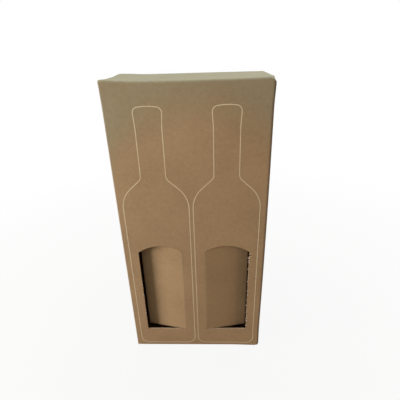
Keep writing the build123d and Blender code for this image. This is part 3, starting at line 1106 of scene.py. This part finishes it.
def board_material(name, pale, dark, roughness, cool_light_tint):
    """Brown board: clouded, with fibres both ways, dark and pale flecks, painted cool light towards the top,
    painted shade with some rubbing in the creases, and a faint washboard of flutes.
    """
    material, tree, shader = new_material(name)
    blank = attribute(tree, "blank", "Vector")
    clouds = noise_value(tree, blank, *CLOUDS)
    formation = noise_value(tree, blank, *FORMATION)
    fibres_along = noise_value(tree, blank, *FIBRES_ALONG)
    fibres_across = noise_value(tree, blank, *FIBRES_ACROSS)
    fibres = math_node(tree, "MULTIPLY", fibres_along, fibres_across)
    tone = math_node(tree, "ADD", spread(tree, clouds, *CLOUD_TONE), spread(tree, formation, *CLOUD_TONE))
    tone = math_node(tree, "ADD", tone, spread(tree, fibres, *FIBRE_TONE))
    colour = mixed(tree, tone, dark, pale)
    dark_flecks = noise_value(tree, blank, *DARK_FLECKS)
    colour = mixed(tree, spread(tree, dark_flecks, *DARK_FLECK_COVER), colour, BOARD_FLECK)
    pale_flecks = noise_value(tree, blank, *PALE_FLECKS)
    colour = mixed(tree, spread(tree, pale_flecks, *PALE_FLECK_COVER), colour, pale)
    # Painted cool light from above, a greyer and cooler tint, patchy over the board
    patchy_painted_light = math_node(tree, "MULTIPLY", attribute(tree, "painted_light"), spread(tree, clouds, *PAINTED_LIGHT_PATCHES))
    colour = mixed(tree, patchy_painted_light, colour, cool_light_tint, "MULTIPLY")
    # Painted shade with some rubbing in the creases, patchy over the board
    shaded_and_rubbed = math_node(tree, "MULTIPLY", attribute(tree, "crease"), spread(tree, formation, *CREASE_SHADE_AND_RUB_PATCHES))
    colour = mixed(tree, shaded_and_rubbed, colour, CREASE_SHADE_AND_RUB)
    across = node(tree, "SeparateXYZ", {"Vector": blank}).outputs["X"]
    wave = math_node(tree, "SINE", math_node(tree, "MULTIPLY", across, 2 * math.pi / (FLUTE_PITCH * MM)))
    height = math_node(tree, "ADD", math_node(tree, "MULTIPLY", wave, WASHBOARD), fibres)
    bump = node(tree, "Bump", {"Strength": BUMP_STRENGTH, "Distance": BUMP_DISTANCE, "Height": height})
    rough = (roughness - ROUGHNESS_CHANGE, roughness + ROUGHNESS_CHANGE)
    matt = spread(tree, formation, *ROUGHNESS_RANGE, *rough)
    tree.links.new(colour, shader.inputs["Base Color"])
    tree.links.new(bump.outputs["Normal"], shader.inputs["Normal"])
    tree.links.new(matt, shader.inputs["Roughness"])
    shader.inputs["Specular IOR Level"].default_value = BOARD_SPECULAR
    return material


def ink_material(name, ink, board):
    """Pale ink or paper, thin on the board, which shows through where it is dry or worn."""
    material, tree, shader = new_material(name)
    place = node(tree, "TexCoord").outputs["Object"]
    dry = spread(tree, noise_value(tree, place, *DRY_INK), *DRY_INK_LOSS)
    thin = spread(tree, noise_value(tree, place, *THIN_INK), *THIN_INK_LOSS)
    bare = math_node(tree, "ADD", dry, thin)
    tree.links.new(mixed(tree, bare, ink, board), shader.inputs["Base Color"])
    shader.inputs["Roughness"].default_value = INK_ROUGHNESS
    shader.inputs["Specular IOR Level"].default_value = INK_SPECULAR
    return material


def floor_material():
    """Pale floor that keeps the shadow, and is white to the camera except under the box."""
    material, tree, shader = new_material("floor_pale")
    shader.inputs["Base Color"].default_value = FLOOR_COLOUR
    shader.inputs["Specular IOR Level"].default_value = FLOOR_SPECULAR
    shader.inputs["Roughness"].default_value = FLOOR_ROUGHNESS
    place = node(tree, "TexCoord").outputs["Object"]
    away = node(tree, "VectorMath", {0: place}, operation="LENGTH").outputs["Value"]
    white = spread(tree, away, *FLOOR_FADE, FLOOR_WHITE, 1.0)
    across, along, _ = node(tree, "SeparateXYZ", {"Vector": place}).outputs
    across = math_node(tree, "MULTIPLY", math_node(tree, "ABSOLUTE", across), 1 / (HALF_WIDTH * MM))
    along = math_node(tree, "MULTIPLY", math_node(tree, "ABSOLUTE", along), 1 / (HALF_DEPTH * MM))
    clear = spread(tree, math_node(tree, "MAXIMUM", across, along), *FLOOR_UNDER)
    seen = node(tree, "LightPath").outputs["Is Camera Ray"]
    share = math_node(tree, "MULTIPLY", seen, math_node(tree, "MULTIPLY", white, clear))
    glow = node(tree, "Emission", {"Color": WHITE, "Strength": 1.0})
    mix = node(tree, "MixShader", {0: share, 1: shader.outputs[0], 2: glow.outputs[0]})
    tree.links.new(mix.outputs[0], tree.nodes["Material Output"].inputs["Surface"])
    return material


# Pieces of the box
surfaces = [
    board_material("board_outside", BOARD_PALE, BOARD_DARK, OUTSIDE_ROUGHNESS, PAINTED_COOL_LIGHT),
    board_material("board_inside", INSIDE_PALE, INSIDE_DARK, INSIDE_ROUGHNESS, WHITE),
    board_material("board_cut", CUT_PALE, CUT_DARK, CUT_ROUGHNESS, WHITE),
]
cream = ink_material("cream_ink", INK, BOARD_PALE)
scrap = ink_material("torn_paper", TORN, CUT_DARK)


def dressed(sheet):
    """The sheet's piece, with the board's surfaces on it."""
    for surface in surfaces:
        sheet.mesh.materials.append(surface)
    return sheet.piece


carton = dressed(Sheet(
    "carton_board",
    carton_loops(),
    carton_guides(),
    GRID_CARTON,
    carton_point,
    carton_joined,
    carton_rub_and_painted_light,
    (0, 0),
))
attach(carton, "carton")
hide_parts("carton")

lid = dressed(Sheet(
    "lid_board",
    lid_loops(),
    lid_guides(),
    GRID_LID,
    lid_point,
    lid_joined,
    lid_rub_and_painted_light,
    (FRONT_MIDDLE, LID_CREASE_HEIGHT),
))
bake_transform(lid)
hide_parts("lid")

right_loop = stepped(window_loop(WINDOW_HINGE, KNIFE_GAP))
for name, side, loop in (("right", 1, right_loop), ("left", -1, mirrored(right_loop, 0))):
    flap = dressed(Sheet(
        "window_flap_board_" + name,
        [loop],
        flap_guides(side),
        GRID_FLAP,
        flap_point,
        flap_joined,
        flap_rub_and_painted_light,
        (FRONT_MIDDLE, 0),
    ))
    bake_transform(flap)
    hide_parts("window_flap_" + name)
    outline = printed_outline("printed_bottle_" + name, side)
    outline.data.materials.append(cream)
    scraps = torn_paper("torn_paper_" + name, side, SCRAPS[side])
    scraps.data.materials.append(scrap)
    for piece in (outline, scraps):
        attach(piece, "carton")

# Stage, light and camera
floor_ends = (-FLOOR_HALF, FLOOR_HALF)
floor_corners = [(x, y, 0) for y in floor_ends for x in floor_ends]
floor = new_piece("floor", floor_corners, [(0, 1, 3, 2)])
floor.data.materials.append(floor_material())

for name, place, size, power, colour in LAMPS:
    lamp = bpy.data.lights.new(name, "AREA")
    lamp.shape = "SQUARE"
    lamp.size = size
    lamp.energy = power
    lamp.color = colour
    holder = bpy.data.objects.new(name, lamp)
    holder.location = place
    holder.rotation_euler = (LAMP_AIM - Vector(place)).to_track_quat("-Z", "Y").to_euler()
    holder.visible_camera = False
    bpy.context.collection.objects.link(holder)

world = bpy.data.worlds.new("surround")
world.use_nodes = True
bpy.context.scene.world = world
tree = world.node_tree
plain = node(tree, "Background", {"Color": SURROUND, "Strength": SURROUND_STRENGTH})
white = node(tree, "Background", {"Color": WHITE, "Strength": 1.0})
rays = node(tree, "LightPath").outputs
seen = math_node(tree, "MAXIMUM", rays["Is Camera Ray"], rays["Is Transmission Ray"])
seen = math_node(tree, "MAXIMUM", seen, rays["Is Glossy Ray"])
mix = node(tree, "MixShader", {0: seen, 1: plain.outputs[0], 2: white.outputs[0]})
tree.links.new(mix.outputs[0], tree.nodes["World Output"].inputs["Surface"])

camera = bpy.data.cameras.new("camera")
camera.sensor_fit = "HORIZONTAL"
camera.sensor_width = SENSOR
camera.lens = CAMERA_LENS
camera.clip_start = CAMERA_CLIP
viewer = bpy.data.objects.new("camera", camera)
viewer.location = Vector(CAMERA_PLACE) * MM
viewer.rotation_euler = [math.radians(angle) for angle in CAMERA_TURN]
bpy.context.collection.objects.link(viewer)
bpy.context.scene.camera = viewer
bpy.context.scene.view_settings.view_transform = "Standard"
